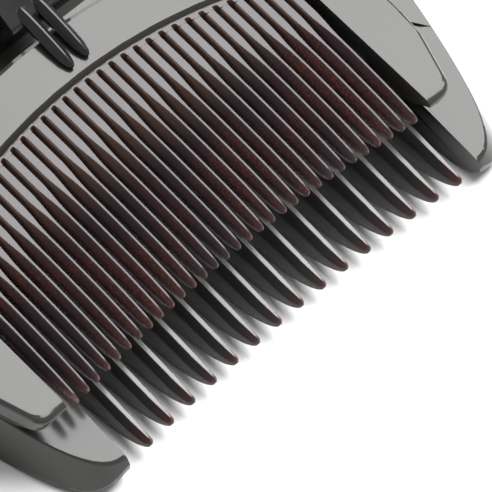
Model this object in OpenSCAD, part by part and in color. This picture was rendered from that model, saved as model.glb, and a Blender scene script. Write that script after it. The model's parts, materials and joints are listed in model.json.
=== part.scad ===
// Two-stage clipper guard comb.
// A coarse comb of long blades sits on the clipper blade. A fine comb slides over it
// on two T rails, and a sprung two-prong latch holds the slide.
// +Z is up, -Y is the side of the tooth tips, X runs across. The origin is at the
// bottom centre of the whole guard. Millimetres.

/* [Guard] */
// Length from the rear edge to the tips
guard_l = 50; // [50:0.5:54]
// Clear width between the side arms
open_w = 48; // [47.6:0.1:48.4]
// Height of the fine comb's top at its arch
arch_z = 15; // [14.8:0.1:15.6]

/* [Fine comb] */
// Centre distance of the fine teeth
tooth_pitch = 1.5; // [1.46:0.01:1.51]
// Number of fine teeth
tooth_n = 31; // [25:2:31]
// Length of the middle fine tooth
tooth_l = 21.7; // [20:0.1:22]
// Width of a fine tooth's top beside the arch
tooth_top_w = 0.86; // [0.8:0.01:1]
// Width of the ridge along a fine tooth
ridge_w = 0.26; // [0.2:0.01:0.4]
// Radius of the arch at the roots of the fine teeth
arch_r = 57; // [55:0.5:60]
// Sideways stand of the fine comb on the coarse comb
fine_shift = -3; // [-3.1:0.1:-2.9]
// Slope of the slide, down towards the tips
slide_tilt = 9; // [8.5:0.1:9.5]

/* [Coarse comb] */
// Centre distance of the blades
blade_pitch = 3; // [2.9:0.01:3.02]
// Number of blades
blade_n = 15; // [11:2:15]
// Depth of the coarse comb's top below the fine comb's top
coarse_drop = 5; // [4.9:0.1:5.1]
// Thickness of a blade below its shoulders
blade_t = 1.1; // [0.9:0.05:1.3]
// Width of a blade's top edge
blade_top_w = 0.55; // [0.4:0.05:0.7]

/* [Side arms] */
// Width of an arm of the fine comb at its rear end
arm_w = 5.4; // [5.2:0.1:5.4]
// Depth of an arm of the fine comb
arm_h = 4.2; // [4:0.05:4.3]
// Width of an arm of the coarse comb at the foot
base_arm_w = 8.5; // [8.5:0.1:9]

/* [Latch and clip] */
// Centre distance of the two prongs
prong_pitch = 2; // [1.9:0.05:2.2]
// Width of a prong
prong_w = 1.45; // [1.1:0.05:1.5]
// Diameter of the latch pin and the clip pin
pin_d = 1.6; // [1.4:0.1:1.7]
// Running clearance around a pin
pin_gap = 0.05; // [0.03:0.01:0.08]

/* [Hidden] */

smoke = [0.20, 0.17, 0.16];
smoke_light = [0.34, 0.32, 0.31];
black = [0.10, 0.10, 0.11];
steel = [0.72, 0.73, 0.75];
rubber = [0.16, 0.16, 0.17];

half_open = open_w / 2;
front_y = -guard_l / 2;
rear_y = guard_l / 2;
// Tip of the middle blade; the outer tips stand a little further forward
blade_sag = 0.9;
tip_round = 0.12;
blade_tip_y = front_y + blade_sag + tip_round;
tip_sag = 1.5;
// The fine comb's frame starts at the middle of its arch
arch_y = blade_tip_y + tooth_l + 4.9;
rise = tan(slide_tilt);

// Seat for the clipper blade, open below and at the rear
seat_z = 5.4;
seat_front_y = -8.5;
seat_rear_y = 13;

// Coarse side: the top runs along the slide behind roof_front_y, and more steeply to the tips
roof_front_y = 1.5;
tip_z = 3.7;
function along_slide(y) = arch_z - coarse_drop + (y - arch_y) * rise;
front_rise = (along_slide(roof_front_y) - tip_z) / (roof_front_y - blade_tip_y);
function coarse_top(y) = y > roof_front_y
    ? along_slide(y) : along_slide(roof_front_y) + (y - roof_front_y) * front_rise;

rebate_y = 5.2;
deck_y = arch_y + 9.2;
deck_z = coarse_top(deck_y) + 0.5;
deck_rear_z = 10.2;
roof_t = 1.6;
// Underside of the deck, from behind the seat to its rear lip
deck_under_y = deck_y + 4;
deck_under_z = deck_z - 1.8;
deck_lip_y = rear_y - 2.2;
deck_lip_z = deck_rear_z - 1.6;
// Shallow slanted line across each coarse arm
index_x = 29.4;
index_y = -10.2;
index_l = 6;
index_w = 0.35;

plate_t = 2.2;
plate_half_w = half_open + arm_w - 0.9;
plate_l = 6.65;
seam_w = 0.15;
seam_edge = 0.45;
band_w = 0.72;
flange_t = 1.1;
flange_l = 3.9;

// T rails of the slide, in the fine comb's tilted frame, each where both arms overlap
rail_left_x = -28.7 - fine_shift;
rail_right_x = 24.75 - fine_shift;
rail_web_w = 0.7;
rail_head_w = 1.3;
rail_head_t = 0.7;
rail_gap = 0.1;
rail_left_v = -14;
rail_right_v = -5.5;
rail_rear_v = 0;
rail_head_z = -arm_h + 1.1;
rail_foot_z = -coarse_drop - 2.4;

// Travel of the fine comb from its shown place
slide_out = 3;
slide_in = 1.8;

// Latch, over the middle of the prongs' place on the plate
latch_x = fine_shift / 2;
latch_y = 14.6;
latch_z = 17.4;
cheek_x = 3.1;
cheek_t = 1.5;
prong_tip_y = arch_y + 1.9;

// Clip for the clipper blade
clip_y = 17.6;
clip_z = 6.6;
clip_w = 9;
lug_t = 1.8;

screw_d = 1.6;
screw_head_d = 3;
screw_sink = 0.9;
comb_screw_x = [-20.6, -6.4, 6.4, 20.6];
comb_screw_y = 3.5;
comb_screw_l = 3.2;
bracket_screw_x = [latch_x - 6.2, latch_x + 6.2];
bracket_screw_y = latch_y;
bracket_t = 1.2;
fine_screw_angles = [-18, -6, 6, 18];
fine_screw_r = arch_r + 2.9;
fine_screw_d = 1.2;
fine_screw_l = 2.2;

// Magnets in the roof, under screwed-in covers
magnet_x = 14;
magnet_y = 8.5;
magnet_d = 6;
magnet_t = 2;
cover_d = 7.4;
cover_t = 0.7;

// Rubber pads that the clipper blade lies on
pad_x = 14;
pad_y = 3.2;
pad_l = 12;
pad_w = 1.6;

// Guide posts under the plate, and the tracks they run in
post_x = 14;
post_v = 3.6;
post_d = 2;
track_depth = 0.8;
roof_w = -coarse_drop * cos(slide_tilt);

// ---------- shared shapes ----------

// Places children in the fine comb's frame: tilted, with zero at the arch's middle
module on_slide() {
    translate([fine_shift, arch_y, arch_z]) rotate([slide_tilt, 0, 0]) children();
}

// A thin slab across X with a side profile in YZ
module side_slab(x, t, profile) {
    translate([x, 0, 0]) rotate([90, 0, 90]) linear_extrude(t) polygon(profile);
}

// One tooth, blade or prong swept through six-sided sections.
// Each section is [y, top z, bottom z, half top width, half width, shoulder depth].
module tooth(sections) {
    points = [for (s = sections)
        each [[-s[3], s[0], s[1]], [s[3], s[0], s[1]],
              [s[4], s[0], s[1] - s[5]], [s[4] * 0.8, s[0], s[2]],
              [-s[4] * 0.8, s[0], s[2]], [-s[4], s[0], s[1] - s[5]]]];
    last = len(sections) - 1;
    walls = [for (i = [0:last - 1], k = [0:5])
        each [[6 * (i + 1) + k, 6 * i + (k + 1) % 6, 6 * i + k],
              [6 * (i + 1) + k, 6 * (i + 1) + (k + 1) % 6, 6 * i + (k + 1) % 6]]];
    ends = [[0, 1, 2, 3, 4, 5], [for (k = [5:-1:0]) 6 * last + k]];
    polyhedron(points, concat(walls, ends));
}

module countersunk_screw(length, shank_d) {
    translate([0, 0, -screw_sink]) cylinder(d1 = screw_d, d2 = screw_head_d, h = 0.7, $fn = 32);
    translate([0, 0, -0.2]) difference() {
        cylinder(d = screw_head_d, h = 0.2, $fn = 32);
        translate([-1, -0.2, 0.05]) cube([2, 0.4, 1]);
        translate([-0.2, -1, 0.05]) cube([0.4, 2, 1]);
    }
    translate([0, 0, -length]) cylinder(d = shank_d, h = length - screw_sink + 0.05, $fn = 32);
}

module screw_hole(length) {
    translate([0, 0, -screw_sink]) cylinder(d1 = screw_d, d2 = screw_head_d, h = 0.7, $fn = 32);
    translate([0, 0, -0.2]) cylinder(d = screw_head_d, h = 2, $fn = 32);
    translate([0, 0, -length]) cylinder(d = screw_d, h = length, $fn = 32);
}

// ---------- coarse comb and its frame ----------

// Rounded rear edge of the deck and the arms
function rear_round(back, drop) = [for (a = [0:30:90])
    [back - 2 + 2 * sin(a), deck_rear_z - drop - 2.4 * (1 - cos(a))]];

// Side profile of a coarse arm at a distance out from its inner edge. The thin front end
// is square, and the flat top draws in towards it along a curve.
function base_profile(out) =
    let(share = out / base_arm_w,
        front = front_y + 18 * pow(share, 3.2),
        lead_y = front_y + 0.4 + 21.5 * pow(share, 2.2),
        nose_z = max(1, 2.7 - 0.45 * out),
        drop = 0.5 * pow(share, 2),
        back = rear_y - 3.4 * pow(share, 4))
    concat(
        [[front + 5, 0], [front + 3.4, 0.05], [front + 1.2, nose_z * 0.3], [front, nose_z - 0.7]],
        [[front, nose_z], [lead_y, coarse_top(lead_y) - drop - 0.15]],
        [[lead_y + 0.4, coarse_top(lead_y + 0.4) - drop]],
        [[roof_front_y, coarse_top(roof_front_y) - drop], [deck_y + 3, coarse_top(deck_y + 3) - drop]],
        rear_round(back, drop), [[back, 0]]
    );

module base_arm() {
    hull() {
        side_slab(half_open - 0.2, 0.4, base_profile(0));
        for (out = [0.6:0.6:base_arm_w - 0.1]) side_slab(half_open + out, 0.1, base_profile(out));
    }
}

// Underside of the deck behind the seat
function deck_under(y) = deck_under_z
    + (y - deck_under_y) * (deck_lip_z - deck_under_z) / (deck_lip_y - deck_under_y);

// The roof over the clipper blade, with a lower deck behind it
module roof() {
    roof_profile = [
        [roof_front_y, seat_z], [roof_front_y, coarse_top(roof_front_y) - roof_t],
        [rebate_y, coarse_top(rebate_y) - roof_t], [rebate_y, coarse_top(rebate_y)],
        [deck_y, coarse_top(deck_y)], [deck_y + 0.6, deck_z], [deck_y + 3, deck_z],
        each rear_round(rear_y, 0), [rear_y, deck_rear_z - 3], [rear_y - 1.6, deck_rear_z - 3],
        [deck_lip_y, deck_lip_z], [deck_under_y, deck_under_z],
        [seat_rear_y + 0.4, deck_under_z], [seat_rear_y, seat_z]
    ];
    side_slab(-half_open, 2 * half_open, roof_profile);
}

module at_comb_screws() {
    for (x = comb_screw_x)
        translate([x, comb_screw_y, coarse_top(comb_screw_y)]) rotate([slide_tilt, 0, 0])
            children();
}

module base_frame() {
    color(smoke_light) difference() {
        union() {
            base_arm();
            mirror([1, 0, 0]) base_arm();
            roof();
            // Lugs that hold the clip pin
            for (side = [-1, 1])
                translate([side * (clip_w / 2 + 0.2 + lug_t / 2) - lug_t / 2, 0, 0])
                    clip_lug();
            // Bosses under the deck for the bracket screws
            for (x = bracket_screw_x)
                translate([x, bracket_screw_y, deck_z - 3.6]) cylinder(d = 3.4, h = 2.8, $fn = 40);
        }
        at_comb_screws() screw_hole(comb_screw_l + 0.2);
        post_tracks();
        for (x = bracket_screw_x)
            translate([x, bracket_screw_y, deck_z - 3.6]) cylinder(d = screw_d, h = 5, $fn = 32);
        for (side = [-1, 1]) {
            magnet_pocket(side);
            translate([side * magnet_x, magnet_y, seat_z - 0.01])
                cylinder(d = cover_d, h = cover_t + 0.01, $fn = 60);
        }
        // Pin bore through both lugs
        translate([0, clip_y, clip_z]) rotate([0, 90, 0])
            cylinder(d = pin_d, h = clip_w + 2 * lug_t + 1, center = true, $fn = 40);
        // Pockets for the rubber seat pads
        for (side = [-1, 1])
            translate([side * pad_x - pad_l / 2, pad_y - pad_w / 2, seat_z - 0.01])
                cube([pad_l, pad_w, 0.61]);
        // Slanted line across each arm
        for (side = [-1, 1])
            translate([side * index_x, index_y, coarse_top(index_y)]) rotate(-side * 50)
                cube([index_l, index_w, 1.3], center = true);
        // Grooves that the webs of the T rails are pressed into
        rail_web(rail_left_x, rail_left_v);
        rail_web(rail_right_x, rail_right_v);
    }
}

module clip_lug() {
    rotate([90, 0, 90]) linear_extrude(lug_t)
        polygon([[clip_y - 2, deck_z - 1.9], [clip_y - 2, clip_z], [clip_y - 1.2, clip_z - 1.6],
                 [clip_y + 1.2, clip_z - 1.6], [clip_y + 2, clip_z], [clip_y + 3, deck_z - 2.6]]);
}

// One blade: a long pointed oval with a step that sits against the clipper blade
module blade() {
    y0 = blade_tip_y;
    h = blade_t / 2;
    t = blade_top_w / 2;
    shoulder = 1.3;
    tooth([
        [y0 - tip_round, tip_z - 0.35, tip_z - 0.95, 0.08, 0.22, 0.2],
        [y0, tip_z - 0.05, tip_z - 1.1, 0.10, 0.34, 0.3],
        [y0 + 0.5, coarse_top(y0 + 0.5), tip_z - 1.3, 0.14, h * 0.8, 0.5],
        [y0 + 1.5, coarse_top(y0 + 1.5), tip_z - 1.55, t * 0.66, h * 0.95, 0.8],
        [y0 + 3.2, coarse_top(y0 + 3.2), tip_z - 1.9, t * 0.9, h, shoulder],
        [y0 + 5.2, coarse_top(y0 + 5.2), tip_z - 2.35, t, h, shoulder],
        [y0 + 11, coarse_top(y0 + 11), 0.3, t, h, shoulder],
        [seat_front_y - 0.4, coarse_top(seat_front_y - 0.4), 0.3, t, h, shoulder],
        [seat_front_y, coarse_top(seat_front_y), seat_z, t, h, shoulder],
        [roof_front_y - 1.5, coarse_top(roof_front_y - 1.5), seat_z, t, h, shoulder]
    ]);
}

module coarse_comb() {
    color(smoke) difference() {
        union() {
            for (i = [0:blade_n - 1]) {
                x = (i - (blade_n - 1) / 2) * blade_pitch;
                // The outer blades reach a little further forward
                translate([x, -blade_sag * pow(x / 21, 2), 0]) blade();
            }
            band = [
                [roof_front_y - 2.6, seat_z], [roof_front_y - 2.6, coarse_top(roof_front_y - 2.6) - 0.3],
                [roof_front_y - 2.3, coarse_top(roof_front_y - 2.3)],
                [rebate_y - 0.1, coarse_top(rebate_y - 0.1)],
                [rebate_y - 0.1, along_slide(rebate_y - 0.1) - roof_t + 0.02],
                [roof_front_y - 0.05, along_slide(roof_front_y - 0.05) - roof_t + 0.02],
                [roof_front_y - 0.05, seat_z]
            ];
            side_slab(-half_open + 0.3, 2 * half_open - 0.6, band);
        }
        at_comb_screws() screw_hole(comb_screw_l + 0.2);
        post_tracks();
    }
}

module comb_screws() {
    color(steel) at_comb_screws() countersunk_screw(comb_screw_l, screw_d);
}

// ---------- magnets, covers and pads in the seat ----------

module magnet_pocket(side) {
    translate([side * magnet_x, magnet_y, seat_z + cover_t - 0.01])
        cylinder(d = magnet_d, h = magnet_t + 0.01, $fn = 60);
}

module magnet(side) {
    color(steel) translate([side * magnet_x, magnet_y, seat_z + cover_t])
        cylinder(d = magnet_d - 0.1, h = magnet_t - 0.05, $fn = 60);
}
module magnet_left() { magnet(-1); }
module magnet_right() { magnet(1); }

module magnet_cover(side) {
    color(black) translate([side * magnet_x, magnet_y, seat_z]) difference() {
        cylinder(d = cover_d - 0.1, h = cover_t, $fn = 60);
        // Spanner notches
        for (a = [0, 180]) rotate(a) translate([2.6, -0.3, -0.01]) cube([2, 0.6, 0.35]);
    }
}
module magnet_cover_left() { magnet_cover(-1); }
module magnet_cover_right() { magnet_cover(1); }

module seat_pad(side) {
    color(rubber) translate([side * pad_x - pad_l / 2 + 0.05, pad_y - pad_w / 2 + 0.05, seat_z - 0.25])
        cube([pad_l - 0.1, pad_w - 0.1, 0.85]);
}
module seat_pad_left() { seat_pad(-1); }
module seat_pad_right() { seat_pad(1); }

// ---------- clip that grips the rear edge of the clipper blade ----------

module clip_lever() {
    color(steel) difference() {
        union() {
            translate([-clip_w / 2, 0, 0]) rotate([90, 0, 90]) linear_extrude(clip_w)
                polygon([[seat_rear_y + 1.3, 5.2], [seat_rear_y + 0.1, 3.3], [seat_rear_y - 0.8, 2.8],
                         [seat_rear_y - 0.9, 2.4], [seat_rear_y - 0.2, 2],
                         [seat_rear_y + 1.2, 2.6], [seat_rear_y + 2.6, 4.8],
                         [clip_y, clip_z - 1.4], [clip_y + 2, clip_z - 1.6], [rear_y - 1.6, 3.6],
                         [rear_y - 0.3, 3.4], [rear_y - 0.1, 4.1], [rear_y - 1.4, 4.6],
                         [clip_y + 2.2, clip_z - 0.5], [clip_y, clip_z - 0.2], [seat_rear_y + 2, 6.2]]);
            translate([0, clip_y, clip_z]) rotate([0, 90, 0])
                cylinder(d = 3, h = clip_w, center = true, $fn = 40);
        }
        translate([0, clip_y, clip_z]) rotate([0, 90, 0])
            cylinder(d = pin_d + 2 * pin_gap, h = clip_w + 1, center = true, $fn = 40);
        // Room for the spring coil
        translate([0, clip_y, clip_z]) rotate([0, 90, 0])
            cylinder(d = 4.6, h = 3.6, center = true, $fn = 40);
    }
}

module clip_pin() {
    color(steel) translate([0, clip_y, clip_z]) rotate([0, 90, 0])
        cylinder(d = pin_d, h = clip_w + 2 * lug_t + 0.4, center = true, $fn = 40);
}

// A torsion coil around a pin, as a sleeve with grooves between its turns
module coil(width, inner_d, wire_d) {
    rotate([0, 90, 0]) difference() {
        cylinder(d = inner_d + 2 * wire_d, h = width, center = true, $fn = 40);
        cylinder(d = inner_d, h = width + 1, center = true, $fn = 40);
        for (i = [-2:2]) translate([0, 0, i * wire_d * 1.15]) rotate_extrude($fn = 40)
            translate([inner_d / 2 + wire_d, 0]) circle(d = wire_d * 0.55, $fn = 16);
    }
}

module clip_spring() {
    color(steel) union() {
        translate([0, clip_y, clip_z]) coil(2.6, pin_d + 0.5, 0.5);
        translate([0.8, clip_y - 0.25, clip_z + 1.1])
            cube([0.5, 0.5, deck_under(clip_y + 0.25) - clip_z - 1.1]);
    }
}

// ---------- T rails ----------

// Upright web of a rail, from its foot in the coarse arm to its head
module rail_web(x, front) {
    on_slide() translate([x - rail_web_w / 2, front, rail_foot_z])
        cube([rail_web_w, rail_rear_v - front, rail_head_z - rail_foot_z + 0.1]);
}

module rail(x, front) {
    color(steel) union() {
        rail_web(x, front);
        on_slide() translate([x - rail_head_w / 2, front, rail_head_z])
            cube([rail_head_w, rail_rear_v - front, rail_head_t]);
    }
}
module rail_left() { rail(rail_left_x, rail_left_v); }
module rail_right() { rail(rail_right_x, rail_right_v); }

// ---------- fine comb and its frame, in the slide's frame ----------

function arc_v(r, x) = -arch_r + sqrt(r * r - x * x);

// Plan of a fine arm, drawn in by inset and set back at its inner and outer front corners:
// straight inside, with a rounded front corner and a taper behind it
module arm_plan(inset, inner_back, outer_back) {
    front = -tooth_l - tip_sag;
    corner = front + outer_back;
    x0 = half_open + 0.1;
    corner_r = 1.6;
    wf = arm_w - 1.9 - inset;
    wr = arm_w - inset;
    polygon([
        [x0, front + inner_back],
        for (a = [0:15:90]) [x0 + wf - corner_r * (1 - sin(a)), corner + corner_r * (1 - cos(a))],
        [x0 + wr - 0.35, corner + 6], [x0 + wr - 0.08, corner + 8.5], [x0 + wr, corner + 11],
        [x0 + wr, arc_v(arch_r + plate_l, x0 + wr) - 0.9 - inset],
        [x0 + wr - 0.5, arc_v(arch_r + plate_l, x0 + wr - 0.5) - 0.35 - inset],
        [x0, arc_v(arch_r + plate_l, x0 + wr) - inset]
    ]);
}

module fine_arm() {
    hull() {
        // The underside rises to a thin edge at the front
        translate([0, 0, -arm_h]) linear_extrude(0.1) arm_plan(0, 5, 2);
        translate([0, 0, -arm_h * 0.55]) linear_extrude(0.1) arm_plan(0, 2, 0.3);
        for (a = [0:18:90])
            translate([0, 0, -0.1 - 0.6 * (1 - sin(a))]) linear_extrude(0.1)
                arm_plan(0.35 * (1 - cos(a)), 1.1 * (1 - cos(a)), 1.1 * (1 - cos(a)));
    }
}

// T slot under an arm, open at the rear
module rail_slot(x, rail_front) {
    front = rail_front - slide_in - 0.3;
    translate([x, front, 0]) {
        translate([-rail_web_w / 2 - rail_gap, 0, -arm_h - 1])
            cube([rail_web_w + 2 * rail_gap, 30, 2.4]);
        translate([-rail_head_w / 2 - rail_gap, 0, rail_head_z - rail_gap])
            cube([rail_head_w + 2 * rail_gap, 30, rail_head_t + 2 * rail_gap]);
    }
}

// A crescent between two arcs around the arch's centre, with chamfered top edges
module crescent(inner_r, outer_r, half_w, t, outer_edge, inner_edge) {
    intersection() {
        translate([0, -arch_r, -t]) difference() {
            union() {
                cylinder(r = outer_r, h = t - outer_edge, $fn = 240);
                translate([0, 0, t - outer_edge])
                    cylinder(r1 = outer_r, r2 = outer_r - outer_edge, h = outer_edge, $fn = 240);
            }
            translate([0, 0, -1]) cylinder(r = inner_r, h = t + 2, $fn = 240);
            if (inner_edge > 0) translate([0, 0, t - inner_edge])
                cylinder(r1 = inner_r, r2 = inner_r + 2 * inner_edge, h = 2 * inner_edge, $fn = 240);
        }
        translate([-half_w, -20, -10]) cube([2 * half_w, 40, 20]);
    }
}

module at_fine_screws() {
    for (a = fine_screw_angles)
        translate([fine_screw_r * sin(a), -arch_r + fine_screw_r * cos(a), -plate_t - flange_t])
            rotate([180, 0, 0]) children();
}

module fine_frame() {
    color(smoke_light) on_slide() difference() {
        union() {
            fine_arm();
            mirror([1, 0, 0]) fine_arm();
            crescent(arch_r + band_w + seam_w, arch_r + plate_l, plate_half_w,
                     plate_t, 0.5, seam_edge);
            // Rear lip down to just above the coarse comb's roof
            crescent(arch_r + plate_l - 1.4, arch_r + plate_l - 0.02, plate_half_w - 0.1,
                     arm_h + 0.1, 0.5, 0);
        }
        at_fine_screws() translate([0, 0, -fine_screw_l - 0.2]) cylinder(d = fine_screw_d, h = 3, $fn = 32);
        rail_slot(rail_left_x, rail_left_v);
        rail_slot(rail_right_x, rail_right_v);
        for (side = [-1, 1]) translate([side * post_x, post_v, -plate_t - 1])
            cylinder(d = post_d, h = 2.2, $fn = 32);
    }
}

// One fine tooth: a flat top beside the arch, then a thin ridge that droops to the tip
module fine_tooth(length) {
    wide = tooth_top_w / 2;
    thin = ridge_w / 2;
    tooth([
        [-length, -1.25, -2.6, thin * 0.7, 0.22, 0.3],
        [-length + 0.25, -1.0, -3.0, thin, 0.32, 0.5],
        [-length + 1.6, -0.72, -3.2, thin, 0.40, 0.8],
        [-length + 6, -0.25, -3.3, thin, 0.44, 1.2],
        [-8.2, 0, -3.3, thin * 1.1, 0.46, 1.2],
        [-6.6, 0, -3.3, thin * 1.7, 0.47, 1.0],
        [-5.2, 0, -3.3, wide * 0.82, 0.49, 0.5],
        [-3.9, 0, -3.3, wide, 0.5, 0.15],
        [0.35, 0, -3.3, wide, 0.5, 0.15]
    ]);
}

module fine_comb() {
    color(smoke) on_slide() difference() {
        union() {
            for (i = [0:tooth_n - 1]) {
                x = (i - (tooth_n - 1) / 2) * tooth_pitch;
                root = arc_v(arch_r, x);
                tip = -tooth_l - tip_sag * pow(x / 22.5, 2);
                translate([x, root, 0]) fine_tooth(root - tip);
            }
            crescent(arch_r, arch_r + band_w, half_open - 0.1, plate_t + flange_t, 0.12, 0);
            translate([0, 0, -plate_t])
                crescent(arch_r + 0.1, arch_r + flange_l, half_open - 0.1, flange_t, 0, 0);
        }
        at_fine_screws() screw_hole(flange_t + 0.5);
    }
}

module fine_screws() {
    color(steel) on_slide() at_fine_screws() countersunk_screw(fine_screw_l, fine_screw_d);
}

// Posts under the plate that run in tracks on the coarse comb's roof
module guide_post(side) {
    color(black) on_slide() translate([side * post_x, post_v, roof_w - track_depth + 0.2])
        cylinder(d = post_d - 0.04, h = -1.05 - roof_w + track_depth - 0.2, $fn = 32);
}
module guide_post_left() { guide_post(-1); }
module guide_post_right() { guide_post(1); }

// The tracks end where the slide stops
module post_tracks() {
    on_slide() for (side = [-1, 1]) hull() for (v = [post_v - slide_out - 0.1, post_v + slide_in + 0.1])
        translate([side * post_x, v, roof_w - track_depth]) cylinder(d = post_d + 0.6, h = 2, $fn = 32);
}

// ---------- latch ----------

module latch_bracket() {
    color(black) difference() {
        union() {
            translate([latch_x - 8, deck_y + 0.8, deck_z]) cube([16, 5.4, bracket_t]);
            for (side = [-1, 1])
                translate([latch_x + side * (cheek_x + 0.1 + cheek_t / 2) - cheek_t / 2, 0, 0])
                    rotate([90, 0, 90]) linear_extrude(cheek_t)
                        polygon([[deck_y + 0.8, deck_z], [deck_y + 0.8, deck_z + 2.6],
                                 [latch_y - 1.6, latch_z + 0.9], [latch_y - 0.8, latch_z + 1.6],
                                 [latch_y + 0.8, latch_z + 1.6], [latch_y + 1.7, latch_z + 0.6],
                                 [deck_y + 6.2, deck_z]]);
        }
        for (x = bracket_screw_x)
            translate([x, bracket_screw_y, deck_z + bracket_t]) screw_hole(3);
        translate([latch_x, latch_y, latch_z]) rotate([0, 90, 0])
            cylinder(d = pin_d, h = 20, center = true, $fn = 40);
    }
}

module bracket_screws() {
    color(steel) for (x = bracket_screw_x)
        translate([x, bracket_screw_y, deck_z + bracket_t]) countersunk_screw(4.4, screw_d);
}

// Height of the fine comb's plate below a point on the centre line
function plate_z(y) = arch_z + (y - arch_y) * rise;

module prong() {
    end_z = plate_z(prong_tip_y) + 0.2;
    h = prong_w / 2;
    tooth([
        [prong_tip_y, end_z + 0.5, end_z + 0.12, 0.08, 0.2, 0.18],
        [prong_tip_y + 0.35, end_z + 0.85, end_z, 0.12, h * 0.62, 0.5],
        [prong_tip_y + 1.2, end_z + 1.3, end_z + 0.12, 0.1, h * 0.92, 0.7],
        [prong_tip_y + 2.6, end_z + 1.8, end_z + 0.4, 0.1, h, 0.8],
        [prong_tip_y + 4.2, end_z + 2.3, end_z + 0.75, 0.11, h, 0.8],
        [prong_tip_y + 6, end_z + 2.75, end_z + 1, 0.12, h, 0.8],
        [prong_tip_y + 7.2, end_z + 2.9, end_z + 1.1, 0.12, h, 0.8]
    ]);
}

// Top line of the lever's thumb end
function lever_top(y) = 18.6 - (y - latch_y - 3) * 0.16;

module latch_lever() {
    head_y = prong_tip_y + 6;
    color(black) translate([latch_x, 0, 0]) difference() {
        union() {
            for (side = [-1, 1]) translate([side * prong_pitch / 2, 0, 0]) prong();
            translate([-cheek_x + 0.1, 0, 0]) rotate([90, 0, 90]) linear_extrude(2 * cheek_x - 0.2)
                polygon([[head_y, 16.9], [head_y + 0.3, 17.4], [latch_y - 1.2, 19], [latch_y + 1, 19],
                         [latch_y + 3, lever_top(latch_y + 3)], [rear_y - 1.4, lever_top(rear_y - 1.4)],
                         [rear_y - 0.5, 17], [rear_y - 0.8, 16.3], [latch_y + 3, 16.9],
                         [latch_y + 1.4, 16], [latch_y - 1.4, 16]]);
        }
        translate([0, latch_y, latch_z]) rotate([0, 90, 0])
            cylinder(d = pin_d + 2 * pin_gap, h = 20, center = true, $fn = 40);
        // Window for the spring coil
        translate([0, latch_y, latch_z]) cube([2.8, 3, 8], center = true);
    }
}

module latch_grip() {
    color(rubber) translate([latch_x - cheek_x + 0.6, 0, 0]) rotate([90, 0, 90])
        linear_extrude(2 * cheek_x - 1.2)
            polygon(concat(
                [[latch_y + 3.4, lever_top(latch_y + 3.4)], [rear_y - 1.8, lever_top(rear_y - 1.8)]],
                [for (i = [0:5]) each [
                    [rear_y - 1.9 - i * 0.8, lever_top(rear_y - 1.9 - i * 0.8) + 0.3],
                    [rear_y - 2.3 - i * 0.8, lever_top(rear_y - 2.3 - i * 0.8) + 0.6]]]));
}

module latch_pin() {
    color(steel) translate([latch_x, latch_y, latch_z]) rotate([0, 90, 0])
        cylinder(d = pin_d, h = 2 * (cheek_x + cheek_t) + 0.6, center = true, $fn = 40);
}

module latch_spring() {
    color(steel) translate([latch_x, latch_y, 0]) union() {
        translate([0, 0, latch_z]) coil(2.4, pin_d + 0.3, 0.3);
        translate([-0.9, 0.5, deck_z + bracket_t]) cube([0.4, 0.4, latch_z - deck_z - 2]);
    }
}

base_frame();
coarse_comb();
comb_screws();
rail_left();
rail_right();
magnet_left();
magnet_right();
magnet_cover_left();
magnet_cover_right();
seat_pad_left();
seat_pad_right();
clip_lever();
clip_pin();
clip_spring();
latch_bracket();
bracket_screws();
latch_lever();
latch_grip();
latch_pin();
latch_spring();
fine_frame();
fine_comb();
fine_screws();
guide_post_left();
guide_post_right();
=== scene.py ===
"""Looks of a two-stage clipper guard comb: polished smoke-brown plastic on a white floor."""
import json
import math

import bmesh
import bpy
import numpy as np
from mathutils import Matrix, Vector


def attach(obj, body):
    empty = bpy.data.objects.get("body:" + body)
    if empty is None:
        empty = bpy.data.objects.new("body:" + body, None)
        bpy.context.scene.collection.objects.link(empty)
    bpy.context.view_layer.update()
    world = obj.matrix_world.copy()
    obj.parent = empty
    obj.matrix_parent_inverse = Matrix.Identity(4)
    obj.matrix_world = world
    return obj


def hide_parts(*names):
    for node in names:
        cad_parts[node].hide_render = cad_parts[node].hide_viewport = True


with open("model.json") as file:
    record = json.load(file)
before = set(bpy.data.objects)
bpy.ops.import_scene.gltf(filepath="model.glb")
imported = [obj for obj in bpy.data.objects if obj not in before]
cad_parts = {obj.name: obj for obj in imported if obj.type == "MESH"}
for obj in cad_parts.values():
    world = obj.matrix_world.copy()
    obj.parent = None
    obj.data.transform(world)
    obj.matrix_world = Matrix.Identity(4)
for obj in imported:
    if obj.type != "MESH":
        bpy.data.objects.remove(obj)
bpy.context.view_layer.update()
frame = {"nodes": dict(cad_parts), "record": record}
nodes = frame["nodes"]
MM = 0.001

# ---------------------------------------------------------------- camera
# Degrees, then millimetres
CAM_AZIMUTH, CAM_ELEVATION, CAM_ROLL = -46.839, 56.354, 1.984
CAM_DISTANCE, CAM_RIGHT, CAM_UP = 397.514, -11.627, 10.347
CAM_TARGET_Z = 6.0
# Focal length in pixels from FOCAL_DISTANCE, for a square picture PICTURE pixels wide
FOCAL, FOCAL_DISTANCE, PICTURE, SENSOR = 1552.334, 150, 492, 36


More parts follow.
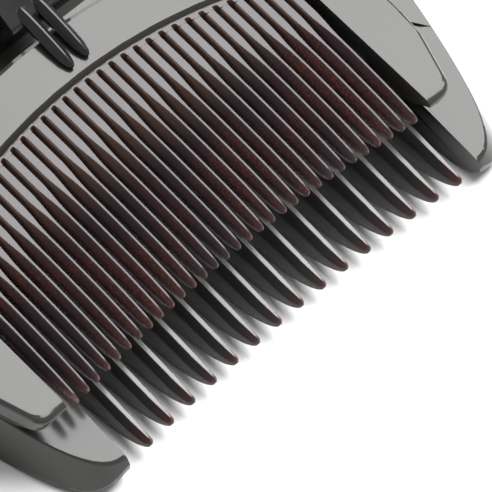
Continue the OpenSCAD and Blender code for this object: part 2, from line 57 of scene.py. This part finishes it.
def place_camera():
    a, e, p = (math.radians(v) for v in (CAM_AZIMUTH, CAM_ELEVATION, CAM_ROLL))
    back = Vector((math.sin(a) * math.cos(e), -math.cos(a) * math.cos(e), math.sin(e)))
    level = Vector((math.cos(a), math.sin(a), 0))
    upright = back.cross(level)
    right = math.cos(p) * level + math.sin(p) * upright
    up = -math.sin(p) * level + math.cos(p) * upright
    target = Vector((0, 0, CAM_TARGET_Z))
    place = target + CAM_DISTANCE * back - CAM_RIGHT * right - CAM_UP * up
    cam = bpy.data.cameras.new("camera")
    cam.sensor_width = SENSOR
    cam.lens = FOCAL * CAM_DISTANCE / FOCAL_DISTANCE / PICTURE * SENSOR
    cam.clip_start, cam.clip_end = 0.01, 10
    o = bpy.data.objects.new("camera", cam)
    bpy.context.scene.collection.objects.link(o)
    m = Matrix((right, up, back)).transposed().to_4x4()
    m.translation = place * MM
    o.matrix_world = m
    bpy.context.scene.camera = o


place_camera()

# ---------------------------------------------------------------- sizes, in mm, as in the CAD
# The arch, and the tilted frame of the fine comb
FINE_SHIFT, ARCH_Y, ARCH_Z, ARCH_R, TILT = -3.0, 2.62, 15.0, 57.0, math.radians(9)
# Fine teeth, with half widths at the root and on the thin ridge; the sag is that of the outer tips
FINE_N, FINE_PITCH, TOOTH_L, TIP_SAG = 31, 1.5, 21.7, 1.5
TOOTH_FOOT, ROOT_HALF, RIDGE_HALF, TOOTH_DRAFT = -3.3, 0.43, 0.13, 0.8
BAND_HALF, BAND_W, FLANGE_TOP, FLANGE_GAP, FLANGE_L = 23.9, 0.72, -2.2, 0.3, 3.9
FINE_SCREW_ANGLES, FINE_SCREW_R = (-18, -6, 6, 18), ARCH_R + 2.9
# Coarse blades, on the clipper blade's seat
BLADE_N, BLADE_PITCH, BLADE_SAG, BLADE_DRAFT = 15, 3.0, 0.9, 0.97
BLADE_HALF, BLADE_TOP_HALF, BLADE_FOOT, SHOULDER = 0.55, 0.275, 0.3, 1.3
BLADE_TIP_Y, TIP_Z, SEAT_Z, SEAT_FRONT_Y, ROOF_FRONT_Y = -23.98, 3.7, 5.4, -8.5, 1.5
COARSE_DROP = 5.0
# Behind this line the coarse comb is the CAD's own mesh, with its screw holes and tracks
CUT_Y = -3.0
# Half width, least depth and squareness of the slots' round ends
SLOT_HALF, SLOT_END, SLOT_SQUARE_X, SLOT_SQUARE_V = 0.32, 0.42, 0.7, 0.6


def row_x(i, count, pitch):
    """Place across the comb of one of a row of teeth."""
    return (i - (count - 1) / 2) * pitch


def along_slide(y):
    """Height of the coarse comb's top under the slide."""
    return ARCH_Z - COARSE_DROP + (y - ARCH_Y) * math.tan(TILT)


FRONT_RISE = (along_slide(ROOF_FRONT_Y) - TIP_Z) / (ROOF_FRONT_Y - BLADE_TIP_Y)


def coarse_top(y):
    """Height of the coarse comb's top, which is steeper in front of the roof."""
    if y > ROOF_FRONT_Y:
        return along_slide(y)
    return along_slide(ROOF_FRONT_Y) + (y - ROOF_FRONT_Y) * FRONT_RISE


def arc_v(r, x):
    """Place along the slide of an arc around the arch's centre."""
    return -ARCH_R + math.sqrt(r * r - x * x)


def slide_to_world(p):
    """From the fine comb's tilted frame, in mm, to the model's frame, in metres."""
    x, v, w = p
    return (
        (x + FINE_SHIFT) * MM,
        (ARCH_Y + v * math.cos(TILT) - w * math.sin(TILT)) * MM,
        (ARCH_Z + v * math.sin(TILT) + w * math.cos(TILT)) * MM,
    )


# ---------------------------------------------------------------- meshes
class Shape:
    """Vertices and faces gathered for one mesh."""

    def __init__(self):
        self.verts, self.faces = [], []

    def add(self, verts, faces):
        base = len(self.verts)
        self.verts.extend(verts)
        self.faces.extend(tuple(i + base for i in face) for face in faces)

    def to_object(self, name, material):
        mesh = bpy.data.meshes.new(name)
        mesh.from_pydata(self.verts, [], self.faces)
        mesh.validate()
        bm = bmesh.new()
        bm.from_mesh(mesh)
        bmesh.ops.remove_doubles(bm, verts=bm.verts, dist=1e-7)
        bmesh.ops.recalc_face_normals(bm, faces=bm.faces)
        bm.to_mesh(mesh)
        bm.free()
        for p in mesh.polygons:
            p.use_smooth = True
        mesh.materials.append(material)
        o = bpy.data.objects.new(name, mesh)
        bpy.context.scene.collection.objects.link(o)
        return o


def sharpen(o, angle):
    """Smooth shading that stays crisp over edges steeper than an angle in degrees."""
    bm = bmesh.new()
    bm.from_mesh(o.data)
    for e in bm.edges:
        e.smooth = e.calc_face_angle(0) < math.radians(angle)
    bm.to_mesh(o.data)
    bm.free()


def soft_curve(xs, ys, x):
    """Monotone cubic through the given stations."""
    xs, ys, x = np.asarray(xs, float), np.asarray(ys, float), np.asarray(x, float)
    d = np.diff(ys) / np.diff(xs)
    m = np.zeros(len(xs))
    m[0], m[-1] = d[0], d[-1]
    for k in range(1, len(xs) - 1):
        if d[k - 1] * d[k] > 0:
            m[k] = 2 * d[k - 1] * d[k] / (d[k - 1] + d[k])
    k = np.clip(np.searchsorted(xs, x) - 1, 0, len(xs) - 2)
    h = xs[k + 1] - xs[k]
    t = (x - xs[k]) / h
    return (
        ys[k] * (2 * t**3 - 3 * t**2 + 1)
        + m[k] * h * (t**3 - 2 * t**2 + t)
        + ys[k + 1] * (-2 * t**3 + 3 * t**2)
        + m[k + 1] * h * (t**3 - t**2)
    )


def along_stations(stations, spans):
    """Rows on smooth curves through the stations, with a number of points to each span of them.

    A station, and a row, is (place along the tooth, top, bottom, half top width, half width,
    shoulder depth).
    """
    places = [s[0] for s in stations]
    between = [np.linspace(places[a], places[b], n)[1:] for a, b, n in spans]
    u = np.concatenate([places[:1]] + between)
    columns = [soft_curve(places, c, u) for c in list(zip(*stations))[1:]]
    return [tuple(float(v) for v in row) for row in zip(u, *columns)]


def tooth_ring(top, bottom, half_top, half, shoulder, draft):
    """Half of a tooth's section, as (x, z) from the top's middle to the bottom's middle.

    The top edge and the bottom edge are rounded, the shoulder bulges between the top's width
    and the body's, and the body narrows to its share draft at the bottom.
    """
    r = min(0.07, half_top * 0.8)
    depth = top - bottom
    b = half * draft
    rb = min(0.16, half * 0.5)
    return [
        (0.0, top),
        ((half_top - r) * 0.8, top),
        (half_top - r, top),
        (half_top - r * 0.3, top - r * 0.22),
        (half_top, top - r),
        (half_top + (half - half_top) * 0.30, top - r - (shoulder - r) * 0.42),
        (half_top + (half - half_top) * 0.62, top - r - (shoulder - r) * 0.72),
        (half_top + (half - half_top) * 0.90, top - shoulder),
        (half, top - shoulder - min(0.35, depth * 0.18)),
        (half - (half - b) * 0.4, top - depth * 0.6),
        (b + 0.02, bottom + rb),
        (b - rb * 0.3, bottom + rb * 0.3),
        (b - rb, bottom),
        (0.0, bottom),
    ]


def sweep(rows, draft, place):
    """Verts and faces of a closed tooth through its rows, placed by a function."""
    verts, faces = [], []
    n = 0
    for y, *section in rows:
        ring = tooth_ring(*section, draft)
        full = ring + [(-x, z) for x, z in ring[-2:0:-1]]
        n = len(full)
        verts += [place((x, y, z)) for x, z in full]
    for k in range(len(rows) - 1):
        for i in range(n):
            j = (i + 1) % n
            faces.append((k * n + i, k * n + j, (k + 1) * n + j, (k + 1) * n + i))
    faces.append(tuple(range(n)))
    faces.append(tuple((len(rows) - 1) * n + i for i in range(n - 1, -1, -1)))
    return verts, faces


# ---------------------------------------------------------------- fine comb
def fine_rows(length):
    """A fine tooth from its tip, over a thin ridge, to its flat top beside the arch."""
    foot, ridge, wide = TOOTH_FOOT, RIDGE_HALF, ROOT_HALF
    stations = [
        (-length, -1.42, -1.75, 0.04, 0.07, 0.12),
        (-length + 0.12, -1.15, -2.1, 0.07, 0.15, 0.25),
        (-length + 0.4, -0.97, -2.45, 0.10, 0.23, 0.4),
        (-length + 1.6, -0.72, -3.0, ridge, 0.34, 0.8),
        (-length + 6, -0.25, foot, ridge, 0.42, 1.2),
        (-8.2, 0, foot, ridge * 1.1, 0.46, 1.2),
        (-6.6, 0, foot, ridge * 1.7, 0.47, 1.0),
        (-5.2, 0, foot, wide * 0.82, 0.49, 0.5),
        (-3.9, 0, foot, wide, 0.5, 0.16),
        (0, 0, foot, wide, 0.5, 0.16),
        # The end dips into the band
        (0.03, -0.3, foot, wide, 0.5, 0.16),
    ]
    spans = [(0, 2, 7), (2, 4, 10), (4, 5, 5), (5, 8, 22), (8, 9, 6), (9, 10, 2)]
    return along_stations(stations, spans)


def band_edge():
    """Front edge of the band, as x and how far behind the arch it lies, around the slots' ends."""
    steps = 8
    # A shallow notch beside each outermost tooth
    notch = [(23.35, 0.0), (23.1, 0.12), (22.95, 0.0)]
    edge = [(-BAND_HALF, 0.0)] + [(-x, v) for x, v in notch]
    for i in range(FINE_N):
        x = row_x(i, FINE_N, FINE_PITCH)
        edge += [(x - ROOT_HALF, 0.0), (x + ROOT_HALF, 0.0)]
        if i == FINE_N - 1:
            break
        for k in range(1, steps):
            t = math.pi * k / steps
            across = SLOT_HALF * math.copysign(abs(math.cos(t)) ** SLOT_SQUARE_X, math.cos(t))
            edge.append((x + FINE_PITCH / 2 - across, SLOT_END * math.sin(t) ** SLOT_SQUARE_V))
    return edge + notch[::-1] + [(BAND_HALF, 0.0)]


def band():
    """Verts and faces of the band behind the slots."""
    edge = band_edge()
    # Rounding of the top edges, as (inset, height), down to the foot
    rows = [(0.10, 0.0), (0.03, -0.03), (0.0, -0.10), (0.0, TOOTH_FOOT)]
    v, f = [], []
    for inset, w in rows:
        for x, dv in edge:
            back = inset * 0.6 if dv > 0 else 0
            v.append(slide_to_world((x, arc_v(ARCH_R, x) + dv + back, w)))
    for inset, w in rows:
        v += [slide_to_world((x, arc_v(ARCH_R + BAND_W - inset, x), w)) for x, _ in edge]
    m, n = len(edge), len(rows)
    for k in range(n - 1):
        for i in range(m - 1):
            f.append((k * m + i, k * m + i + 1, (k + 1) * m + i + 1, (k + 1) * m + i))
            q = n + k
            f.append((q * m + i, (q + 1) * m + i, (q + 1) * m + i + 1, q * m + i + 1))
    foot, last = (n - 1) * m, (2 * n - 1) * m
    for i in range(m - 1):
        f.append((i, n * m + i, n * m + i + 1, i + 1))
        f.append((foot + i, foot + i + 1, last + i + 1, last + i))
    return v, f


def fine_teeth(material):
    """The teeth and the band that joins them."""
    shape = Shape()
    outer = row_x(FINE_N - 1, FINE_N, FINE_PITCH)
    for i in range(FINE_N):
        x = row_x(i, FINE_N, FINE_PITCH)
        root = arc_v(ARCH_R, x)
        length = root + TOOTH_L + TIP_SAG * (x / outer) ** 2

        def place(p, x=x, root=root):
            return slide_to_world((p[0] + x, p[1] + root, p[2]))

        shape.add(*sweep(fine_rows(length), TOOTH_DRAFT, place))
    shape.add(*band())
    o = shape.to_object("fine_teeth", material)
    sharpen(o, 38)
    return o


def screw_cutters(material):
    """Countersunk holes from below, as one object."""
    holes = Shape()
    seg = 32
    # The countersink and the hole above it, as (radius, height)
    profile = ((1.5, -3.5), (1.5, -3.1), (0.8, -2.4), (0.8, -2.0))
    for a in FINE_SCREW_ANGLES:
        cx = FINE_SCREW_R * math.sin(math.radians(a))
        cv = -ARCH_R + FINE_SCREW_R * math.cos(math.radians(a))
        v, f = [], []
        for r, w in profile:
            for k in range(seg):
                t = 2 * math.pi * k / seg
                v.append(slide_to_world((cx + r * math.cos(t), cv + r * math.sin(t), w)))
        for q in range(3):
            for k in range(seg):
                j = (k + 1) % seg
                f.append((q * seg + k, q * seg + j, (q + 1) * seg + j, (q + 1) * seg + k))
        f.append(tuple(range(seg)))
        f.append(tuple(3 * seg + k for k in range(seg)))
        holes.add(v, f)
    return holes.to_object("hole_cutter", material)


def fine_flange(material):
    """The flange under the plate, with countersunk holes for its four screws."""
    v, f = [], []
    n = 61
    xs = [float(x) for x in np.linspace(-BAND_HALF, BAND_HALF, n)]
    front, rear = ARCH_R + FLANGE_GAP, ARCH_R + FLANGE_L
    for r, w in ((front, FLANGE_TOP), (rear, FLANGE_TOP), (rear, TOOTH_FOOT), (front, TOOTH_FOOT)):
        v += [slide_to_world((x, arc_v(r, x), w)) for x in xs]
    for k in range(4):
        a, b = k * n, ((k + 1) % 4) * n
        f += [(a + i, a + i + 1, b + i + 1, b + i) for i in range(n - 1)]
    f += [(0, n, 2 * n, 3 * n), (n - 1, 4 * n - 1, 3 * n - 1, 2 * n - 1)]
    shape = Shape()
    shape.add(v, f)
    o = shape.to_object("fine_flange", material)
    cutter = screw_cutters(material)
    b = o.modifiers.new("holes", "BOOLEAN")
    b.operation, b.solver, b.object = "DIFFERENCE", "EXACT", cutter
    bpy.context.view_layer.update()
    done = bpy.data.meshes.new_from_object(o.evaluated_get(bpy.context.evaluated_depsgraph_get()))
    o.modifiers.clear()
    o.data = done
    bpy.data.objects.remove(cutter)
    sharpen(o, 30)
    return o


# ---------------------------------------------------------------- coarse comb
def blade_rows():
    """A blade from its tip back to the cut, with the step that meets the clipper blade."""
    y0, z0, h, t = BLADE_TIP_Y, TIP_Z, BLADE_HALF, BLADE_TOP_HALF
    stations = [
        (y0 - 0.12, z0 - 0.42, z0 - 0.80, 0.05, 0.14, 0.12),
        (y0, z0 - 0.13, z0 - 1.08, 0.08, 0.28, 0.3),
        (y0 + 0.25, z0 + 0.02, z0 - 1.3, 0.10, 0.38, 0.45),
        (y0 + 0.7, coarse_top(y0 + 0.7), z0 - 1.6, 0.12, 0.46, 0.65),
        (y0 + 1.5, coarse_top(y0 + 1.5), z0 - 2.0, t * 0.62, h * 0.95, 0.9),
        (y0 + 3.2, coarse_top(y0 + 3.2), z0 - 2.65, t * 0.90, h, SHOULDER),
        (y0 + 5.2, coarse_top(y0 + 5.2), z0 - 3.1, t, h, SHOULDER),
        (y0 + 11, coarse_top(y0 + 11), BLADE_FOOT, t, h, SHOULDER),
    ]
    step = SEAT_FRONT_Y
    rear = [(y, BLADE_FOOT) for y in (step - 3, step - 0.12, step - 0.02)]
    rear += [(step, SEAT_Z), (CUT_Y, SEAT_Z)]
    rows = along_stations(stations, [(0, 3, 9), (3, 6, 16), (6, 7, 2)])
    return rows + [(y, coarse_top(y), bottom, t, h, SHOULDER) for y, bottom in rear]


def crosspiece():
    """Verts and faces of the CAD's coarse comb behind the cut."""
    bm = bmesh.new()
    bm.from_mesh(nodes["coarse_comb"].data)
    bmesh.ops.remove_doubles(bm, verts=bm.verts, dist=2e-6)
    # The middle blades overlap this plane by a hair; the outer ones, moved forwards by the sag,
    # stop up to 0.9 mm short of it, under the fine comb
    bmesh.ops.bisect_plane(bm, geom=bm.verts[:] + bm.edges[:] + bm.faces[:], clear_inner=True,
                           plane_co=(0, (CUT_Y - 0.02) * MM, 0), plane_no=(0, 1, 0))
    bmesh.ops.dissolve_limit(bm, angle_limit=math.radians(1), verts=bm.verts, edges=bm.edges)
    bm.verts.index_update()
    verts = [tuple(v.co) for v in bm.verts]
    faces = [tuple(v.index for v in f.verts) for f in bm.faces]
    bm.free()
    return verts, faces


def coarse_blades(body, highlight_paint):
    """The blades and the crosspiece, with a paler material that paints a highlight on the blades'
    top edges.
    """
    shape = Shape()
    rows = blade_rows()
    outer = row_x(BLADE_N - 1, BLADE_N, BLADE_PITCH)
    for i in range(BLADE_N):
        x = row_x(i, BLADE_N, BLADE_PITCH)
        out = -BLADE_SAG * (x / outer) ** 2

        def place(p, x=x, out=out):
            return ((p[0] + x) * MM, (p[1] + out) * MM, p[2] * MM)

        shape.add(*sweep(rows, BLADE_DRAFT, place))
    shape.add(*crosspiece())
    o = shape.to_object("coarse_blades", body)
    sharpen(o, 40)
    # The second, paler material paints the highlight on the blades' flat top edges
    o.data.materials.append(highlight_paint)
    for p in o.data.polygons:
        x, y, z = p.center / MM
        in_middle = abs(x - round(x / BLADE_PITCH) * BLADE_PITCH) < 0.2
        on_top = p.normal.z > 0.9 and z > coarse_top(y) - 0.35
        if y < CUT_Y and in_middle and on_top:
            p.material_index = 1
    return o


# ---------------------------------------------------------------- rounded CAD shapes
# Edges over ROUND_ANGLE are rounded, and those between the two angles stay as creases
CREASE_ANGLE, ROUND_ANGLE = math.radians(11), math.radians(22)


def rounded_copy(node, name, material, width):
    """A copy of a CAD node's mesh with its edges rounded to a width in mm."""
    src = nodes[node]
    mesh = src.data.copy()
    mesh.name = name
    o = bpy.data.objects.new(name, mesh)
    bpy.context.scene.collection.objects.link(o)
    o.matrix_world = src.matrix_world.copy()
    bm = bmesh.new()
    bm.from_mesh(mesh)
    bmesh.ops.remove_doubles(bm, verts=bm.verts, dist=2e-6)
    bmesh.ops.dissolve_limit(bm, angle_limit=math.radians(1.5), verts=bm.verts, edges=bm.edges)
    for e in bm.edges:
        e.smooth = not CREASE_ANGLE < e.calc_face_angle(0) < ROUND_ANGLE
    bm.to_mesh(mesh)
    bm.free()
    mesh.materials.clear()
    mesh.materials.append(material)
    if mesh.has_custom_normals:
        with bpy.context.temp_override(object=o, active_object=o, selected_objects=[o]):
            bpy.ops.mesh.customdata_custom_splitnormals_clear()
    for p in mesh.polygons:
        p.use_smooth = True
    b = o.modifiers.new("round", "BEVEL")
    b.width = width * MM
    b.segments = 3
    b.limit_method = "ANGLE"
    b.angle_limit = ROUND_ANGLE
    b.use_clamp_overlap = True
    b.harden_normals = False
    w = o.modifiers.new("normals", "WEIGHTED_NORMAL")
    w.keep_sharp = True
    w.weight = 80
    return o


# ---------------------------------------------------------------- materials
IOR = 1.43
# Linear colours painted on the smoke plastic for light that passes through it: upright faces,
# those near the arch, glints and blade tips
SIDE_GLOW_PAINT, ROOT_GLOW_PAINT = (0.072, 0.052, 0.060), (0.145, 0.100, 0.082)
GLINT_PAINT, TIP_GLOW_PAINT = (0.23, 0.075, 0.040), (0.060, 0.030, 0.031)
# Where they fade in and out: the normal's Z towards flat tops, and Y in metres
FLAT_TOPS, ROOT_ZONE, TIP_ZONE = (0.75, 0.96), (-0.008, -0.003), (-0.0215, -0.0245)


def new_material(name):
    """A material, its node tree and its principled shader."""
    m = bpy.data.materials.new(name)
    m.use_nodes = True
    t = m.node_tree
    t.nodes.clear()
    out = t.nodes.new("ShaderNodeOutputMaterial")
    b = t.nodes.new("ShaderNodeBsdfPrincipled")
    t.links.new(b.outputs[0], out.inputs[0])
    return m, t, b


def object_coords(t):
    return t.nodes.new("ShaderNodeTexCoord").outputs["Object"]


def noise(t, co, scale, detail=3, rough=0.5, stretch=None):
    n = t.nodes.new("ShaderNodeTexNoise")
    n.inputs["Scale"].default_value = scale
    n.inputs["Detail"].default_value = detail
    n.inputs["Roughness"].default_value = rough
    if stretch:
        mp = t.nodes.new("ShaderNodeMapping")
        mp.inputs["Scale"].default_value = stretch
        t.links.new(co, mp.inputs["Vector"])
        co = mp.outputs[0]
    t.links.new(co, n.inputs["Vector"])
    return n.outputs["Fac"]


def ramp(t, fac, stops):
    """A colour between two stops of (place, colour)."""
    r = t.nodes.new("ShaderNodeValToRGB")
    for e, (p, c) in zip(r.color_ramp.elements, stops):
        e.position = p
        e.color = (*c, 1)
    t.links.new(fac, r.inputs["Fac"])
    return r.outputs[0]


def to_range(t, fac, lo, hi, a=0.0, b=1.0):
    """A value from lo to hi as the factor goes from a to b."""
    m = t.nodes.new("ShaderNodeMapRange")
    m.inputs["From Min"].default_value = a
    m.inputs["From Max"].default_value = b
    m.inputs["To Min"].default_value = lo
    m.inputs["To Max"].default_value = hi
    t.links.new(fac, m.inputs["Value"])
    return m.outputs[0]


def component(t, vector, axis):
    split = t.nodes.new("ShaderNodeSeparateXYZ")
    t.links.new(vector, split.inputs[0])
    return split.outputs[axis]


def times(t, a, b):
    m = t.nodes.new("ShaderNodeMath")
    m.operation = "MULTIPLY"
    t.links.new(a, m.inputs[0])
    t.links.new(b, m.inputs[1])
    return m.outputs[0]


def mix_colour(t, factor, a, b):
    """From the linked colour a to the plain colour b."""
    mix = t.nodes.new("ShaderNodeMix")
    mix.data_type = "RGBA"
    t.links.new(factor, mix.inputs["Factor"])
    t.links.new(a, mix.inputs["A"])
    mix.inputs["B"].default_value = (*b, 1)
    return mix.outputs["Result"]


def bump(t, b, height, strength, distance):
    n = t.nodes.new("ShaderNodeBump")
    n.inputs["Strength"].default_value = strength
    n.inputs["Distance"].default_value = distance
    t.links.new(height, n.inputs["Height"])
    t.links.new(n.outputs[0], b.inputs["Normal"])


def gloss_plastic(name, dark, light, rough, wave=0.03):
    """Polished moulded plastic: faint colour drift, fine haze and a moulding's slow waviness."""
    m, t, b = new_material(name)
    co = object_coords(t)
    drift = ramp(t, noise(t, co, 60, 4), [(0.3, dark), (0.7, light)])
    t.links.new(drift, b.inputs["Base Color"])
    haze = to_range(t, noise(t, co, 700, 3), rough * 0.8, rough * 1.25)
    t.links.new(haze, b.inputs["Roughness"])
    bump(t, b, noise(t, co, 160, 2), wave, 0.0003)
    b.inputs["IOR"].default_value = IOR
    return m


def comb_plastic(name, dark, light, painted_glow=False, tip_glow_paint=None, shine=0.5):
    """Smoke plastic of the combs.

    Where asked, its upright faces carry a painted glow of light through the plastic, warmer and
    lighter near the arch, where it also lifts the shade of the narrow slots, and painted
    red-orange glints. With a tip colour it turns to that towards the blades' tips: a painted glow
    there.
    """
    m, t, b = new_material(name)
    co = object_coords(t)
    base = ramp(t, noise(t, co, 90, 5, 0.6), [(0.35, dark), (0.7, light)])
    if painted_glow:
        normal = t.nodes.new("ShaderNodeNewGeometry").outputs["Normal"]
        upright = to_range(t, component(t, normal, "Z"), 1, 0, *FLAT_TOPS)
        glint_patch = to_range(t, noise(t, co, 110, 2, 0.5), 0, 1, 0.42, 0.60)
        glint_spots = to_range(t, noise(t, co, 3600, 2, 0.6), 0, 1, 0.50, 0.62)
        root = to_range(t, component(t, co, "Y"), 0, 1, *ROOT_ZONE)
        # Painted light: upright faces get a lighter, warmer colour for light through the plastic
        base = mix_colour(t, upright, base, SIDE_GLOW_PAINT)
        # Painted glints of light through the plastic, as red-orange spots in patches
        base = mix_colour(t, times(t, times(t, glint_patch, glint_spots), upright), base, GLINT_PAINT)
        # Lighter and warmer near the arch: painted light through the plastic, which also lifts the
        # shade of the narrow slots
        base = mix_colour(t, times(t, root, upright), base, ROOT_GLOW_PAINT)
    if tip_glow_paint:
        # Painted glow of light through the thin blade tips
        near_tip = to_range(t, component(t, co, "Y"), 0, 1, *TIP_ZONE)
        base = mix_colour(t, near_tip, base, tip_glow_paint)
    t.links.new(base, b.inputs["Base Color"])
    t.links.new(to_range(t, noise(t, co, 900, 3), 0.12, 0.22), b.inputs["Roughness"])
    bump(t, b, noise(t, co, 1400, 3), 0.06, 0.00005)
    b.inputs["IOR"].default_value = IOR
    b.inputs["Specular IOR Level"].default_value = shine
    return m


def metal(name, rough, colour):
    """Satin metal with a fine grain along X."""
    m, t, b = new_material(name)
    co = object_coords(t)
    grain = noise(t, co, 1.0, 4, 0.6, stretch=(60, 4000, 4000))
    t.links.new(to_range(t, grain, rough * 0.7, rough * 1.4), b.inputs["Roughness"])
    dark = tuple(v * 0.85 for v in colour)
    drift = ramp(t, noise(t, co, 300, 3), [(0.3, dark), (0.7, colour)])
    t.links.new(drift, b.inputs["Base Color"])
    bump(t, b, grain, 0.08, 0.00003)
    b.inputs["Metallic"].default_value = 1
    return m


frame_mat = gloss_plastic("frame_smoke", (0.024, 0.024, 0.022), (0.034, 0.033, 0.030), 0.16)
# The fine comb's plastic carries painted light through its teeth
fine_mat = comb_plastic("fine_smoke", (0.017, 0.012, 0.014), (0.032, 0.021, 0.024),
                        painted_glow=True)
# The coarse comb's plastic turns to a painted glow at the blade tips
coarse_mat = comb_plastic("coarse_smoke", (0.050, 0.048, 0.049), (0.062, 0.060, 0.061),
                          tip_glow_paint=TIP_GLOW_PAINT, shine=0.15)
# Paler plastic for the blades' top edges: a painted highlight
highlight_paint_mat = comb_plastic("coarse_painted_highlight", (0.13, 0.125, 0.12), (0.17, 0.165, 0.155))
black_mat = gloss_plastic("latch_black", (0.010, 0.010, 0.011), (0.018, 0.018, 0.019), 0.2)
rubber_mat = gloss_plastic("rubber_black", (0.016, 0.016, 0.016), (0.026, 0.026, 0.026), 0.6,
                           wave=0.25)
steel_mat = metal("steel_satin", 0.28, (0.60, 0.60, 0.61))
magnet_mat = metal("magnet_nickel", 0.12, (0.66, 0.65, 0.62))

by_slot = {"frame_plastic": frame_mat, "comb_plastic": coarse_mat, "black_plastic": black_mat,
           "steel": steel_mat, "magnet": magnet_mat, "rubber": rubber_mat}
slot_of = {p["node"]: p["material_slot"] for p in frame["record"]["subparts"]}
for name, o in nodes.items():
    o.data.materials.clear()
    o.data.materials.append(by_slot[slot_of[name]])


# ---------------------------------------------------------------- pieces that replace CAD nodes
def stand_for(piece, node, body):
    """Puts a piece on its body, in the place of a CAD node, which it hides."""
    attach(piece, body)
    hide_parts(node)


stand_for(fine_teeth(fine_mat), "fine_comb", "fine")
flange = fine_flange(fine_mat)
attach(flange, "fine")
stand_for(rounded_copy("fine_frame", "fine_shell", frame_mat, 0.22), "fine_frame", "fine")
stand_for(rounded_copy("base_frame", "coarse_shell", frame_mat, 0.4), "base_frame", "base")
stand_for(coarse_blades(coarse_mat, highlight_paint_mat), "coarse_comb", "base")
stand_for(rounded_copy("latch_lever", "latch_body", black_mat, 0.12), "latch_lever", "latch")
stand_for(rounded_copy("latch_bracket", "latch_mount", black_mat, 0.15), "latch_bracket", "base")
stand_for(rounded_copy("clip_lever", "clip_body", steel_mat, 0.12), "clip_lever", "clip")

# ---------------------------------------------------------------- floor and light
# Metres and watts
FLOOR_HALF, FLOOR_WHITE, WORLD_STRENGTH = 3, 0.88, 0.45
LIGHT_FROM, LIGHT_AIM = Vector((0.40, 0.06, 0.91)), Vector((0, 0, 0.008))
LIGHT_DISTANCE, LIGHT_SIZE, LIGHT_WATTS = 0.7, 0.62, 12


def white_floor():
    h = FLOOR_HALF
    mesh = bpy.data.meshes.new("floor")
    mesh.from_pydata([(-h, -h, 0), (h, -h, 0), (h, h, 0), (-h, h, 0)], [], [(0, 1, 2, 3)])
    o = bpy.data.objects.new("floor", mesh)
    bpy.context.scene.collection.objects.link(o)
    m, _, b = new_material("floor_white")
    b.inputs["Base Color"].default_value = (FLOOR_WHITE, FLOOR_WHITE, FLOOR_WHITE, 1)
    b.inputs["Roughness"].default_value = 0.9
    b.inputs["Specular IOR Level"].default_value = 0.1
    mesh.materials.append(m)
    return o


def softbox():
    """The light overhead that the flat tops mirror."""
    d = LIGHT_FROM.normalized()
    light = bpy.data.lights.new("soft_top", "AREA")
    light.shape = "RECTANGLE"
    light.size, light.size_y = LIGHT_SIZE, LIGHT_SIZE
    light.energy = LIGHT_WATTS
    o = bpy.data.objects.new("soft_top", light)
    bpy.context.scene.collection.objects.link(o)
    o.location = LIGHT_AIM + d * LIGHT_DISTANCE
    o.rotation_euler = d.to_track_quat("Z", "Y").to_euler()


floor = white_floor()
softbox()
world = bpy.data.worlds.new("studio")
bpy.context.scene.world = world
world.use_nodes = True
background = world.node_tree.nodes["Background"]
background.inputs[0].default_value = (1, 1, 1, 1)
background.inputs[1].default_value = WORLD_STRENGTH
bpy.context.scene.view_settings.view_transform = "Standard"
